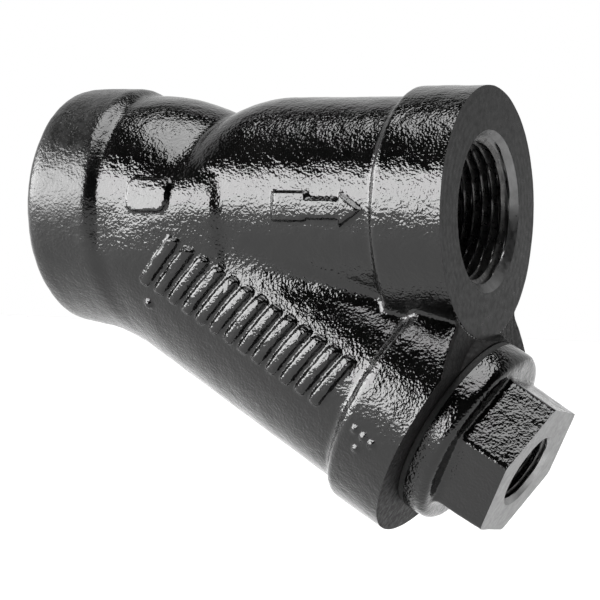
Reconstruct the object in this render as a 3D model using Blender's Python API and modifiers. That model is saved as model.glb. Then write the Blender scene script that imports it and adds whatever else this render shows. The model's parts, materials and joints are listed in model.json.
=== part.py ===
"""Y strainer for 1 inch taper-threaded pipe: cast body, screwed cap, gasket and screen basket.

The origin is the centre of the inlet face, on the run's axis. +X is the direction of flow and +Z is
up. The screen branch slants down and downstream in the XZ plane, and everything in it shares its axis.
Lengths along the run are called x, and lengths along the branch, from where the two axes cross, s.
"""

import math

import bmesh
import bpy
from mathutils import Matrix, Vector

# Every dimension below is in millimetres or degrees; MM turns it into Blender's metres.
MM = 0.001
STEPS = 64
FINE_STEPS = 48
FERRULE_STEPS = 36

# Run, for 1 inch NPT
FACE_TO_FACE = 103.3
COLLAR_RADIUS = 27.5
COLLAR_LENGTH = 17.5
OUTLET_COLLAR_LENGTH = 16.4
RUN_RADIUS = 25.2
PORT_MOUTH_RADIUS = 17.8
PORT_RADIUS = 15.15
PORT_END_RADIUS = 14.7
PORT_DEPTH = 17.0
INLET_PASSAGE_RADIUS = 13.3
OUTLET_CHAMBER_RADIUS = 17.5
SPOT_FACE_RADIUS = 28.2
NECK_START_RADIUS = 25.9
NECK_START = 18.8
NECK_END = 47.0
NECK_CURVE = 0.0082
NECK_STEPS = 6
RUN_START = 5.0

# Branch
BRANCH_ANGLE = 29.6
BRANCH_CROSSING = 13.5
BRANCH_RADIUS = 24.4
BRANCH_END_RADIUS = 26.0
BRANCH_COLLAR_RADIUS = 28.5
BRANCH_COLLAR_START = 80.0
BRANCH_COLLAR_REACH = 102.6
BRANCH_RIM_RADIUS = 23.5
BRANCH_FACE = 94.6
SHOULDER = 13.0
SHOULDER_ROUND = 3.0
CORE_RADIUS = 19.5
CORE_END = 78.0
SEAT_HOLE_RADIUS = 13.0
SEAT_RADIUS = 16.4
SEAT = 13.0
PARTITION_START = 10.0
PARTITION_END = 18.0

# Cap, with an M36 x 2 thread and a 3/8 inch NPT blow-off port
CAP_THREAD_RADIUS = 17.9
CAP_THREAD_BORE_RADIUS = 18.2
CAP_SPIGOT_END = 83.0
CAP_PILOT_RADIUS = 14.0
CAP_PILOT_END = 79.0
CAP_CAVITY_RADIUS = 11.5
CAP_RUNOUT = 2.6
FLANGE_RADIUS = 21.3
FLANGE_START = 96.2
FLANGE_END = 102.0
HEX_END = 114.3
HEX_BASE_CORNER_RADIUS = 18.05
HEX_CORNER_RADIUS = 17.6
HEX_TURN = 19.0
BLOW_OFF_RADIUS = 7.45
BLOW_OFF_MOUTH_RADIUS = 8.9
BLOW_OFF_DEPTH = 14.0
CAP_CAVITY_END = 97.3

# Gasket and screen basket
GAP = 0.3
GASKET_INNER_RADIUS = 18.5
GASKET_OUTER_RADIUS = 21.0
GASKET_THICKNESS = 1.0
CLOTH_INNER_RADIUS = 15.1
CLOTH_OUTER_RADIUS = 15.4
FERRULE_INNER_RADIUS = 14.35
FERRULE_OUTER_RADIUS = 16.05
FERRULE_WALL = 0.35
FERRULE_LENGTH = 6.0
STRIP_WIDTH = 5.0
STRIP_THICKNESS = 0.3
STRIP_CLEARANCE = 1.5

# Edges: a machined edge that is broken, a thread's lead-in, a cast edge and a cast fillet
EDGE = 0.4
LEAD_IN = 1.0
CAST_EDGE = 0.8
FILLET = 1.4

# How far a cutter passes the face that it opens
OVERCUT = 1.0

RUN = (Vector((0, 0, 0)), (0, math.radians(90), 0))
BRANCH = (Vector((BRANCH_CROSSING, 0, 0)), (0, math.radians(90 + BRANCH_ANGLE), 0))


def clear_scene():
    """Remove what a new file holds."""
    for obj in list(bpy.data.objects):
        bpy.data.objects.remove(obj)


def new_collection(name):
    """A collection of this name, linked to the scene."""
    collection = bpy.data.collections.new(name)
    bpy.context.scene.collection.children.link(collection)
    return collection


def material(name, colour, roughness, metallic):
    """A Principled material."""
    made = bpy.data.materials.new(name)
    made.use_nodes = True
    shader = made.node_tree.nodes["Principled BSDF"]
    shader.inputs["Base Color"].default_value = (*colour, 1)
    shader.inputs["Roughness"].default_value = roughness
    shader.inputs["Metallic"].default_value = metallic
    return made


def placed(name, mesh, frame, collection):
    """An object of this mesh, with its local Z along the axis that the frame gives."""
    obj = bpy.data.objects.new(name, mesh)
    obj.location = frame[0] * MM
    obj.rotation_euler = frame[1]
    collection.objects.link(obj)
    return obj


def turned(name, profile, frame, collection, ring=False, steps=STEPS):
    """A turned solid: (radius, height) points, from the far end down the outside, swept about Z.

    A solid's profile starts and ends on the axis, and a ring's is closed by its last edge.
    """
    points = [(radius * MM, 0, height * MM) for radius, height in profile]
    edges = [(index, index + 1) for index in range(len(points) - 1)]
    if ring:
        edges.append((len(points) - 1, 0))
    mesh = bpy.data.meshes.new(name)
    mesh.from_pydata(points, edges, [])
    obj = placed(name, mesh, frame, collection)
    screw = obj.modifiers.new("turn", "SCREW")
    screw.axis = "Z"
    screw.angle = math.tau
    screw.steps = steps
    screw.render_steps = steps
    screw.use_merge_vertices = True
    screw.merge_threshold = 0.01 * MM
    return obj


def block(name, size, centre, frame, collection):
    """A box whose size and centre are given along its frame's own axes."""
    mesh = bpy.data.meshes.new(name)
    shape = bmesh.new()
    bmesh.ops.create_cube(shape, size=1)
    bmesh.ops.scale(shape, vec=Vector(size) * MM, verts=shape.verts)
    bmesh.ops.translate(shape, vec=Vector(centre) * MM, verts=shape.verts)
    shape.to_mesh(mesh)
    shape.free()
    return placed(name, mesh, frame, collection)


def combine(target, other, operation):
    """Add a Boolean of the other object, and keep that object out of the model."""
    boolean = target.modifiers.new(f"{operation.lower()} {other.name}", "BOOLEAN")
    boolean.operation = operation
    boolean.solver = "EXACT"
    boolean.object = other
    other.hide_render = True
    other.display_type = "WIRE"


def finish(obj, coat):
    """Give an object its material and even out its shading."""
    obj.data.materials.append(coat)
    obj.modifiers.new("weighted normals", "WEIGHTED_NORMAL")


def half_space(name, s, side, cutters):
    """A block that holds everything on one side of the plane at s: 1 is further along the branch."""
    size = 2 * FACE_TO_FACE
    return block(name, (size, size, size), (0, 0, s + side * size / 2), BRANCH, cutters)


def collar_step(collar, tube, start):
    """The profile where a collar that begins at start meets the thinner tube before it."""
    return [
        (collar, start + FILLET),
        (collar - FILLET / 2, start),
        (tube + FILLET / 3, start - FILLET / 3),
        (tube, start - 2 * FILLET),
    ]


def neck_radius(x):
    """The radius of the neck, which narrows ever faster behind the inlet collar."""
    return NECK_START_RADIUS - NECK_CURVE * (x - NECK_START) ** 2


def inlet_shell(cutters):
    """The inlet collar and the neck that narrows behind it."""
    step = (NECK_END - NECK_START) / NECK_STEPS
    places = [NECK_END - step * index for index in range(NECK_STEPS + 1)]
    profile = [
        (0, NECK_END),
        *[(neck_radius(x), x) for x in places],
        (COLLAR_RADIUS - CAST_EDGE, COLLAR_LENGTH + EDGE),
        (COLLAR_RADIUS, COLLAR_LENGTH - FILLET),
        (COLLAR_RADIUS, 3 * CAST_EDGE),
        (COLLAR_RADIUS - CAST_EDGE, CAST_EDGE),
        (COLLAR_RADIUS - 2.5 * CAST_EDGE, 0),
        (0, 0),
    ]
    return turned("inlet_shell", profile, RUN, cutters)


def branch_shell(cutters):
    """The screen branch: a rounded shoulder, a tube that widens slightly, and its collar.

    The collar stops short of the outlet's face, except for a rim around the cap's bore.
    """
    shoulder_end = SHOULDER - SHOULDER_ROUND / 3
    profile = [
        (0, BRANCH_FACE),
        (BRANCH_COLLAR_RADIUS - EDGE, BRANCH_FACE),
        (BRANCH_COLLAR_RADIUS, BRANCH_FACE - EDGE),
        *collar_step(BRANCH_COLLAR_RADIUS, BRANCH_END_RADIUS, BRANCH_COLLAR_START),
        (BRANCH_RADIUS, SHOULDER + SHOULDER_ROUND),
        (BRANCH_RADIUS - SHOULDER_ROUND / 4, SHOULDER + SHOULDER_ROUND / 6),
        (BRANCH_RADIUS - SHOULDER_ROUND, shoulder_end),
        (0, shoulder_end),
    ]
    shell = turned("branch_shell", profile, BRANCH, cutters)
    size = 2 * FACE_TO_FACE
    centre = (0, 0, BRANCH_COLLAR_REACH + size / 2)
    combine(shell, block("past_outlet", (size, size, size), centre, RUN, cutters), "DIFFERENCE")
    rim = [
        (0, BRANCH_FACE),
        (BRANCH_RIM_RADIUS - EDGE, BRANCH_FACE),
        (BRANCH_RIM_RADIUS, BRANCH_FACE - EDGE),
        (BRANCH_RIM_RADIUS, BRANCH_COLLAR_START),
        (0, BRANCH_COLLAR_START),
    ]
    combine(shell, turned("branch_rim", rim, BRANCH, cutters), "UNION")
    return shell


def port_bores(cutters):
    """The two threaded ports at their minor diameter: a chamfered mouth, then a slight taper."""
    chamfer = PORT_MOUTH_RADIUS - PORT_RADIUS
    inlet = [
        (0, PORT_DEPTH),
        (PORT_END_RADIUS, PORT_DEPTH),
        (PORT_RADIUS, chamfer),
        (PORT_MOUTH_RADIUS + OVERCUT, -OVERCUT),
        (0, -OVERCUT),
    ]
    outlet = [(radius, FACE_TO_FACE - x) for radius, x in reversed(inlet)]
    return [
        turned("inlet_port_bore", inlet, RUN, cutters),
        turned("outlet_port_bore", outlet, RUN, cutters),
    ]


def outlet_spot_face(cutters):
    """The facing cut at the outlet, which also trims the rim around the cap's bore."""
    end = FACE_TO_FACE + SPOT_FACE_RADIUS
    profile = [
        (0, end),
        (SPOT_FACE_RADIUS, end),
        (SPOT_FACE_RADIUS, FACE_TO_FACE),
        (0, FACE_TO_FACE),
    ]
    return turned("outlet_spot_face", profile, RUN, cutters)


def run_passages(cutters):
    """The passages along the run, on either side of the slanted partition."""
    middle = FACE_TO_FACE / 2
    near = [
        (0, middle),
        (INLET_PASSAGE_RADIUS, middle),
        (INLET_PASSAGE_RADIUS, PORT_DEPTH - OVERCUT),
        (0, PORT_DEPTH - OVERCUT),
    ]
    inlet = turned("inlet_passage", near, RUN, cutters)
    combine(inlet, half_space("inlet_side", PARTITION_START, -1, cutters), "INTERSECT")
    port_end = FACE_TO_FACE - PORT_DEPTH
    far = [
        (0, port_end + OVERCUT),
        (PORT_END_RADIUS, port_end + OVERCUT),
        (PORT_END_RADIUS, port_end),
        (OUTLET_CHAMBER_RADIUS, port_end - OUTLET_CHAMBER_RADIUS + PORT_END_RADIUS),
        (OUTLET_CHAMBER_RADIUS, RUN_START),
        (0, RUN_START),
    ]
    outlet = turned("outlet_chamber", far, RUN, cutters)
    combine(outlet, half_space("outlet_side", PARTITION_END, 1, cutters), "INTERSECT")
    return [inlet, outlet]


def branch_bore(cutters):
    """The cap's threaded bore, the screen's chamber, and the seat and hole through the partition."""
    profile = [
        (0, BRANCH_FACE + OVERCUT),
        (CAP_THREAD_BORE_RADIUS, BRANCH_FACE + OVERCUT),
        (CAP_THREAD_BORE_RADIUS, BRANCH_COLLAR_START),
        (CORE_RADIUS, CORE_END),
        (CORE_RADIUS, PARTITION_END),
        (SEAT_RADIUS, PARTITION_END),
        (SEAT_RADIUS, SEAT),
        (SEAT_HOLE_RADIUS, SEAT),
        (SEAT_HOLE_RADIUS, RUN_START),
        (0, RUN_START),
    ]
    return turned("branch_bore", profile, BRANCH, cutters)


def make_body(parts, cutters, iron):
    """The cast body: run tube and outlet collar, branch and inlet joined, then its hollows cut."""
    collar_start = FACE_TO_FACE - OUTLET_COLLAR_LENGTH
    profile = [
        (0, FACE_TO_FACE),
        (COLLAR_RADIUS - EDGE, FACE_TO_FACE),
        (COLLAR_RADIUS, FACE_TO_FACE - EDGE),
        *collar_step(COLLAR_RADIUS, RUN_RADIUS, collar_start),
        (RUN_RADIUS, RUN_START),
        (0, RUN_START),
    ]
    body = turned("body", profile, RUN, parts)
    combine(body, half_space("past_shoulder", SHOULDER, 1, cutters), "INTERSECT")
    combine(body, branch_shell(cutters), "UNION")
    combine(body, inlet_shell(cutters), "UNION")
    hollows = [*port_bores(cutters), *run_passages(cutters), branch_bore(cutters)]
    for cutter in [outlet_spot_face(cutters), *hollows]:
        combine(body, cutter, "DIFFERENCE")
    finish(body, iron)
    return body


def hexagon(cutters):
    """The cap's hexagon, with a slight draft."""
    base = FLANGE_END - OVERCUT
    mesh = bpy.data.meshes.new("cap_hexagon")
    shape = bmesh.new()
    bmesh.ops.create_cone(
        shape,
        cap_ends=True,
        segments=6,
        radius1=HEX_BASE_CORNER_RADIUS * MM,
        radius2=HEX_CORNER_RADIUS * MM,
        depth=(HEX_END - base) * MM,
    )
    first = max(shape.verts, key=lambda vertex: vertex.co.x)
    turn = math.radians(HEX_TURN) - math.atan2(first.co.y, first.co.x)
    bmesh.ops.rotate(shape, verts=shape.verts, cent=(0, 0, 0), matrix=Matrix.Rotation(turn, 3, "Z"))
    bmesh.ops.translate(shape, verts=shape.verts, vec=(0, 0, (HEX_END + base) / 2 * MM))
    shape.to_mesh(mesh)
    shape.free()
    return placed("cap_hexagon", mesh, BRANCH, cutters)


def make_cap(parts, cutters, iron):
    """The screwed cap: pilot, threaded spigot, flange and hexagon, with the blow-off port through it."""
    root = CAP_THREAD_RADIUS - LEAD_IN
    runout = FLANGE_START - CAP_RUNOUT
    profile = [
        (0, FLANGE_END),
        (FLANGE_RADIUS - 2 * CAST_EDGE, FLANGE_END),
        (FLANGE_RADIUS - CAST_EDGE / 2, FLANGE_END - CAST_EDGE / 2),
        (FLANGE_RADIUS, FLANGE_END - 2 * CAST_EDGE),
        (FLANGE_RADIUS, FLANGE_START + EDGE),
        (FLANGE_RADIUS - EDGE, FLANGE_START),
        (root, FLANGE_START),
        (root, runout + LEAD_IN),
        (CAP_THREAD_RADIUS, runout),
        (CAP_THREAD_RADIUS, CAP_SPIGOT_END + LEAD_IN),
        (root, CAP_SPIGOT_END),
        (CAP_PILOT_RADIUS, CAP_SPIGOT_END),
        (CAP_PILOT_RADIUS, CAP_PILOT_END + CAST_EDGE),
        (CAP_PILOT_RADIUS - CAST_EDGE, CAP_PILOT_END),
        (0, CAP_PILOT_END),
    ]
    cap = turned("retainer_cap", profile, BRANCH, parts, steps=FINE_STEPS)
    combine(cap, hexagon(cutters), "UNION")
    chamfer = BLOW_OFF_MOUTH_RADIUS - BLOW_OFF_RADIUS
    bore = [
        (0, HEX_END + OVERCUT),
        (BLOW_OFF_MOUTH_RADIUS + OVERCUT, HEX_END + OVERCUT),
        (BLOW_OFF_RADIUS, HEX_END - chamfer),
        (BLOW_OFF_RADIUS, HEX_END - BLOW_OFF_DEPTH),
        (CAP_CAVITY_RADIUS, CAP_CAVITY_END),
        (CAP_CAVITY_RADIUS, CAP_PILOT_END - OVERCUT),
        (0, CAP_PILOT_END - OVERCUT),
    ]
    combine(cap, turned("blow_off_bore", bore, BRANCH, cutters, steps=FINE_STEPS), "DIFFERENCE")
    finish(cap, iron)
    return cap


def make_gasket(parts, fibre):
    """The flat ring between the branch's end face and the cap's flange."""
    near = BRANCH_FACE + GAP
    far = near + GASKET_THICKNESS
    profile = [
        (GASKET_INNER_RADIUS, far),
        (GASKET_OUTER_RADIUS, far),
        (GASKET_OUTER_RADIUS, near),
        (GASKET_INNER_RADIUS, near),
    ]
    gasket = turned("cap_gasket", profile, BRANCH, parts, ring=True, steps=FINE_STEPS)
    finish(gasket, fibre)
    return gasket


def make_ferrule(name, closed_end, inward, parts, steel):
    """A folded end ring: two lips on either side of the cloth, joined at the closed end.

    inward is +1 where the lips point along the branch from the closed end, and -1 where they point back.
    """
    web = closed_end + inward * FERRULE_WALL
    open_end = closed_end + inward * FERRULE_LENGTH
    profile = [
        (FERRULE_INNER_RADIUS, open_end),
        (FERRULE_INNER_RADIUS + FERRULE_WALL, open_end),
        (FERRULE_INNER_RADIUS + FERRULE_WALL, web),
        (FERRULE_OUTER_RADIUS - FERRULE_WALL, web),
        (FERRULE_OUTER_RADIUS - FERRULE_WALL, open_end),
        (FERRULE_OUTER_RADIUS, open_end),
        (FERRULE_OUTER_RADIUS, closed_end),
        (FERRULE_INNER_RADIUS, closed_end),
    ]
    if inward < 0:
        profile.reverse()
    ferrule = turned(name, profile, BRANCH, parts, ring=True, steps=FERRULE_STEPS)
    finish(ferrule, steel)
    return ferrule


def make_screen(parts, cutters, mesh_steel, steel):
    """The screen basket: woven cloth, its seam strip and a ferrule at each end."""
    seat_end = SEAT + GAP
    cap_end = CAP_SPIGOT_END - GAP
    make_ferrule("upper_ferrule", seat_end, 1, parts, steel)
    make_ferrule("lower_ferrule", cap_end, -1, parts, steel)
    inset = FERRULE_WALL + GAP
    cloth_profile = [
        (CLOTH_INNER_RADIUS, cap_end - inset),
        (CLOTH_OUTER_RADIUS, cap_end - inset),
        (CLOTH_OUTER_RADIUS, seat_end + inset),
        (CLOTH_INNER_RADIUS, seat_end + inset),
    ]
    cloth = turned("screen_cloth", cloth_profile, BRANCH, parts, ring=True, steps=FINE_STEPS)
    finish(cloth, mesh_steel)
    clear = FERRULE_LENGTH + STRIP_CLEARANCE
    strip_inner = CLOTH_OUTER_RADIUS + GAP
    strip_profile = [
        (strip_inner, cap_end - clear),
        (strip_inner + STRIP_THICKNESS, cap_end - clear),
        (strip_inner + STRIP_THICKNESS, seat_end + clear),
        (strip_inner, seat_end + clear),
    ]
    strip = turned("screen_seam_strip", strip_profile, BRANCH, parts, ring=True, steps=FINE_STEPS)
    window = block(
        "seam_window",
        (STRIP_WIDTH, 2 * strip_inner, 2 * cap_end),
        (0, strip_inner + STRIP_THICKNESS, cap_end),
        BRANCH,
        cutters,
    )
    combine(strip, window, "INTERSECT")
    finish(strip, steel)


def main():
    clear_scene()
    parts = new_collection("y_strainer")
    cutters = new_collection("y_strainer_cutters")
    iron = material("black_enamelled_iron", (0.018, 0.018, 0.019), 0.22, 0.0)
    fibre = material("gasket_fibre", (0.10, 0.11, 0.10), 0.85, 0.0)
    mesh_steel = material("woven_stainless", (0.52, 0.52, 0.50), 0.42, 1.0)
    steel = material("stainless_sheet", (0.60, 0.60, 0.58), 0.30, 1.0)
    make_body(parts, cutters, iron)
    make_cap(parts, cutters, iron)
    make_gasket(parts, fibre)
    make_screen(parts, cutters, mesh_steel, steel)


main()
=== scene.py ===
"""Looks of the Y strainer: a sand-cast enamelled body and cap, cut threads, and a woven screen.

The castings are distance fields in millimetres that are meshed, roughened and then machined with
Booleans, in the order in which a foundry and a lathe make the real ones. Lengths along the run are
called x and lengths along the branch, from where the two axes cross, s.
"""

import json
import math

import bpy
import numpy as np
from mathutils import Matrix, Vector, noise


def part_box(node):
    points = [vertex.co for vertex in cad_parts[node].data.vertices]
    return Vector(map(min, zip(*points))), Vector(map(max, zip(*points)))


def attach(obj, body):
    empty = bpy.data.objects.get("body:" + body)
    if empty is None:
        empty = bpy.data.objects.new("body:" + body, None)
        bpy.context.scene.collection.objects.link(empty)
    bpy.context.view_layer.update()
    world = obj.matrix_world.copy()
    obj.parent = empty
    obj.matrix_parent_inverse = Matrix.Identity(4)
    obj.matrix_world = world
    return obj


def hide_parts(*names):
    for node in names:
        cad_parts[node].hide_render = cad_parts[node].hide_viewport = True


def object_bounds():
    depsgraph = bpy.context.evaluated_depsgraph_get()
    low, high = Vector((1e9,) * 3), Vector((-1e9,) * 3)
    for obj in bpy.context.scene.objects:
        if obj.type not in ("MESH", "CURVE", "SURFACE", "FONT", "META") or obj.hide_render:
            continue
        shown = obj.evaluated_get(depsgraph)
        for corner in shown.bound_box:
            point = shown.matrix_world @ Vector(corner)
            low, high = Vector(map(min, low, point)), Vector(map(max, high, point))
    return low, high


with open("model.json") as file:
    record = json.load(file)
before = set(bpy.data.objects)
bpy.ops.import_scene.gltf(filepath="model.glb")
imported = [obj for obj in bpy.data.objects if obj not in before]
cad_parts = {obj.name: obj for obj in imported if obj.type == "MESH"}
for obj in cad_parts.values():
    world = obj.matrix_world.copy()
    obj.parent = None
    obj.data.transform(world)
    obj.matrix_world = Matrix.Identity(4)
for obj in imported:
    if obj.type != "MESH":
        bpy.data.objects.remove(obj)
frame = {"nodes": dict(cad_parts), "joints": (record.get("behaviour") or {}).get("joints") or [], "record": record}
cad_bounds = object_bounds()

MM = 0.001
VOXEL = 0.45
CAP_VOXEL = 0.36
ROUND_STEPS = 128
PASSAGE_STEPS = 96
CLEARANCE = 0.3

# Threads. A depth is a share of the pitch, and the taper is on the radius.
NPT_1_PITCH = 25.4 / 11.5
NPT_38_PITCH = 25.4 / 18
CAP_PITCH = 2.0
NPT_TAPER = 1 / 32
NPT_DEPTH = 0.8
METRIC_DEPTH = 0.58
CAP_THREAD_PLAY = 0.15
ROWS_PER_PITCH = 12

# The castings, beyond what the frame gives. An allowance is what the facing cuts take off.
MACHINING_ALLOWANCE = 1.3
RUN_RADIUS = 25.2
BRANCH_RADIUS = 24.4
BRANCH_END_RADIUS = 26.0
COLLAR_LENGTH = 17.3
OUTLET_COLLAR_LENGTH = 16.4
BRANCH_COLLAR_LENGTH = 14.6
BRANCH_COLLAR_REACH = 103.2
BRANCH_RIM_RADIUS = 21.0
NECK_RADIUS = 25.9
NECK_START = 18.8
NECK_FALL = 0.0060
NECK_POWER = 2.16
NECK_SIDE_FALL = 0.25
SHOULDER = 11.7
SHOULDER_FOOT = 2.0
SHOULDER_ROUND = 13.5
PORT_RADIUS = 15.15
PORT_MOUTH_RADIUS = 17.8
PORT_DEPTH = 17.0
INLET_BORE_RADIUS = 13.3
OUTLET_BORE_RADIUS = 14.7
OUTLET_CHAMBER_RADIUS = 17.5
SEAT_BORE_RADIUS = 13.0
SEAT_RADIUS = 16.4
CHAMBER_RADIUS = 19.5
CAP_BORE_RADIUS = 18.2
SPOT_FACE_RADIUS = 28.2

# Places along the branch where the hollows inside the body start and end
INLET_END = 10
SEAT_BORE_START = 5
SEAT_START = 13
SEAT_END = 17.6
CHAMBER_START = 18.6
OUTLET_START = 18

# The marks cast on the front
RELIEF_HEIGHT = 0.95
RELIEF_EDGE = 1.0
ARROW_START = 62.6
ARROW_TAIL_SLOPE = 1.7
RIB_START = 24.2
RIB_PITCH = 4.1
RIB_COUNT = 13
PAD_PLACE = 32.2
PIP_PLACES = ((84.2, -4.2), (86.6, -4.6), (86.0, -7.6), (88.9, -4.9))

# The cap
HEX_HEIGHT = 12.3
HEX_FLAT_RADIUS = 15.65
HEX_DRAFT = 0.03
HEX_TURN = math.radians(19)
BLOW_OFF_RADIUS = 7.45
BLOW_OFF_MOUTH_RADIUS = 8.9
BLOW_OFF_DEPTH = 14
PILOT_RADIUS = 14.0

# Which material of a casting a face takes
ENAMEL, FACED, THREAD, CORED_AND_PAINTED_SHADE, MOUTH = range(5)

# The stage. The camera's distance and target are in metres.
WITHDRAWAL_ROOM = 48
FLOOR_HALF_WIDTH = 900
CAMERA_AZIMUTH = math.radians(27.38)
CAMERA_ELEVATION = math.radians(4.25)
CAMERA_DISTANCE = 0.48925
CAMERA_LENS = 127.68
CAMERA_SHIFT = (0.0329, -0.0084)
CAMERA_TARGET = (0.052, 0, -0.020)

# ---------------------------------------------------------------- places, read from the frame


def unit(vector):
    """The vector at a length of 1."""
    return np.array(vector, float) / np.linalg.norm(vector)


def node_points(node):
    """A CAD node's vertices in millimetres."""
    return np.array([vertex.co for vertex in frame["nodes"][node].data.vertices]) / MM


class Axis:
    """A line with a local frame whose Z runs along it; heights along it start at its origin."""

    def __init__(self, origin, direction):
        self.origin = np.array(origin, float)
        self.z = unit(direction)
        self.y = np.array([0.0, 1.0, 0.0])
        self.x = np.cross(self.y, self.z)
        self.basis = np.stack([self.x, self.y, self.z])

    def to_world(self, local):
        return self.origin + np.asarray(local, float) @ self.basis

    def to_local(self, world):
        return (np.asarray(world, float) - self.origin) @ self.basis.T

    def span(self, node):
        """A node's lowest and highest place along the axis, and its smallest and largest radius."""
        local = self.to_local(node_points(node))
        radius = np.hypot(local[:, 0], local[:, 1])
        return local[:, 2].min(), local[:, 2].max(), radius.min(), radius.max()


joints = {joint["name"]: joint for joint in frame["joints"]}
run = Axis((0, 0, 0), (1, 0, 0))
branch = Axis(np.array(joints["cap_turn"]["pos_m"]) / MM, joints["cap_turn"]["axis"])

mounts = {mount["name"]: mount for mount in frame["record"]["mounts"]}
LENGTH = mounts["outlet_face"]["pos_m"][0] / MM
COLLAR_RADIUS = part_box("body")[1].z / MM
BRANCH_COLLAR_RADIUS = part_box("body")[1].y / MM
BRANCH_FACE = branch.span("body")[1]
CAP_START, HEX_END, _, FLANGE_RADIUS = branch.span("retainer_cap")
GASKET_START, GASKET_END, GASKET_BORE, GASKET_RADIUS = branch.span("cap_gasket")
CLOTH_START, CLOTH_END, CLOTH_BORE, CLOTH_RADIUS = branch.span("screen_cloth")
SCREEN_START, UPPER_END, FERRULE_BORE, FERRULE_RADIUS = branch.span("upper_ferrule")
LOWER_START, SCREEN_END, _, _ = branch.span("lower_ferrule")
STRIP_START, STRIP_END, _, STRIP_RADIUS = branch.span("screen_seam_strip")
FLANGE_START = GASKET_END + (GASKET_START - BRANCH_FACE)
FLANGE_END = HEX_END - HEX_HEIGHT
SPIGOT_END = SCREEN_END + CLEARANCE
SPIGOT_RADIUS = CAP_BORE_RADIUS - CLEARANCE

# ---------------------------------------------------------------- meshes


def new_object(name, points, faces):
    """A mesh object from points in millimetres."""
    mesh = bpy.data.meshes.new(name)
    mesh.from_pydata((np.asarray(points) * MM).tolist(), [], [list(face) for face in faces])
    mesh.update()
    obj = bpy.data.objects.new(name, mesh)
    bpy.context.scene.collection.objects.link(obj)
    return obj


def smooth(obj, angle=34):
    """Smooth shading, with sharp edges where two faces meet at more than an angle in degrees."""
    obj.data.shade_smooth()
    obj.data.set_sharp_from_angle(angle=math.radians(angle))


def revolved(name, axis, heights, radii, steps=ROUND_STEPS):
    """A closed solid about an axis. radii has one value for each height, or one row of values."""
    heights = np.asarray(heights, float)
    radii = np.asarray(radii, float)
    if radii.ndim == 1:
        radii = np.repeat(radii[:, None], steps, axis=1)
    angles = np.arange(steps) * math.tau / steps
    local = np.stack(
        [radii * np.cos(angles), radii * np.sin(angles), np.repeat(heights[:, None], steps, axis=1)], axis=2
    ).reshape(-1, 3)
    following = np.roll(np.arange(steps), -1)
    faces = []
    for row in range(len(heights) - 1):
        low, high = row * steps, (row + 1) * steps
        faces += [(low + a, low + b, high + b, high + a) for a, b in enumerate(following)]
    faces.append(range(steps - 1, -1, -1))
    faces.append(range((len(heights) - 1) * steps, len(heights) * steps))
    return new_object(name, axis.to_world(local), faces)


def ring(name, axis, profile):
    """A closed ring from (radius, height) points that run anticlockwise, with the radius to the right."""
    count = len(profile)
    angles = np.arange(ROUND_STEPS) * math.tau / ROUND_STEPS
    radius, height = np.array(profile, float).T
    local = np.stack(
        [
            np.outer(np.cos(angles), radius),
            np.outer(np.sin(angles), radius),
            np.repeat(height[None, :], ROUND_STEPS, axis=0),
        ],
        axis=2,
    ).reshape(-1, 3)
    faces = []
    for step in range(ROUND_STEPS):
        here, there = step * count, (step + 1) % ROUND_STEPS * count
        for index in range(count):
            after = (index + 1) % count
            faces.append((here + index, there + index, there + after, here + after))
    return new_object(name, axis.to_world(local), faces)


def surface_net(values, origin, voxel):
    """The zero surface of a grid of distances: one point in each cell that it crosses, joined by quads."""
    inside = values < 0
    count = sum(
        inside[i : i - 1 or None, j : j - 1 or None, k : k - 1 or None].astype(np.int8)
        for i in (0, 1)
        for j in (0, 1)
        for k in (0, 1)
    )
    cells = np.argwhere((count > 0) & (count < 8))
    corners = np.array([(i, j, k) for i in (0, 1) for j in (0, 1) for k in (0, 1)])
    at = np.stack([values[tuple((cells + corner).T)] for corner in corners], axis=1)
    total = np.zeros((len(cells), 3))
    crossings = np.zeros(len(cells))
    for a in range(8):
        for b in range(a + 1, 8):
            if np.abs(corners[a] - corners[b]).sum() != 1:
                continue
            crossed = (at[:, a] < 0) != (at[:, b] < 0)
            share = at[crossed, a] / (at[crossed, a] - at[crossed, b])
            total[crossed] += corners[a] + share[:, None] * (corners[b] - corners[a])
            crossings[crossed] += 1
    points = origin + voxel * (cells + total / crossings[:, None])
    number = np.full(count.shape, -1, np.int64)
    number[tuple(cells.T)] = np.arange(len(cells))
    faces = []
    for direction in range(3):
        step, side, up = (np.eye(3, dtype=int)[(direction + turn) % 3] for turn in range(3))
        low = tuple(slice(None, -1) if value else slice(None) for value in step)
        high = tuple(slice(1, None) if value else slice(None) for value in step)
        edges = np.argwhere(inside[low] != inside[high])
        edges = edges[(edges > 0).all(axis=1) & (edges < np.array(count.shape)).all(axis=1)]
        quad = np.stack(
            [number[tuple((edges - back).T)] for back in (side + up, up, side * 0, side)], axis=1
        )
        outward = inside[tuple(edges.T)]
        quad[~outward] = quad[~outward][:, ::-1]
        faces.append(quad)
    return points, np.concatenate(faces)


def settle(points, field):
    """Points moved onto the field's zero surface, and the surface's normals there."""
    small = 0.05
    for _ in range(3):
        value = field(*points.T)
        slope = np.stack(
            [
                field(*(points + offset).T) - field(*(points - offset).T)
                for offset in np.eye(3) * small
            ],
            axis=1,
        ) / (2 * small)
        length = np.linalg.norm(slope, axis=1, keepdims=True) + 1e-9
        points = points - slope / length * np.clip(value[:, None] / length, -0.4, 0.4)
    return points, slope / length


def noise_at(points, size):
    """Smooth noise between about -1 and 1 at each point, with bumps of about this size."""
    return np.array([noise.noise(Vector(point)) for point in points / size])


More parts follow.
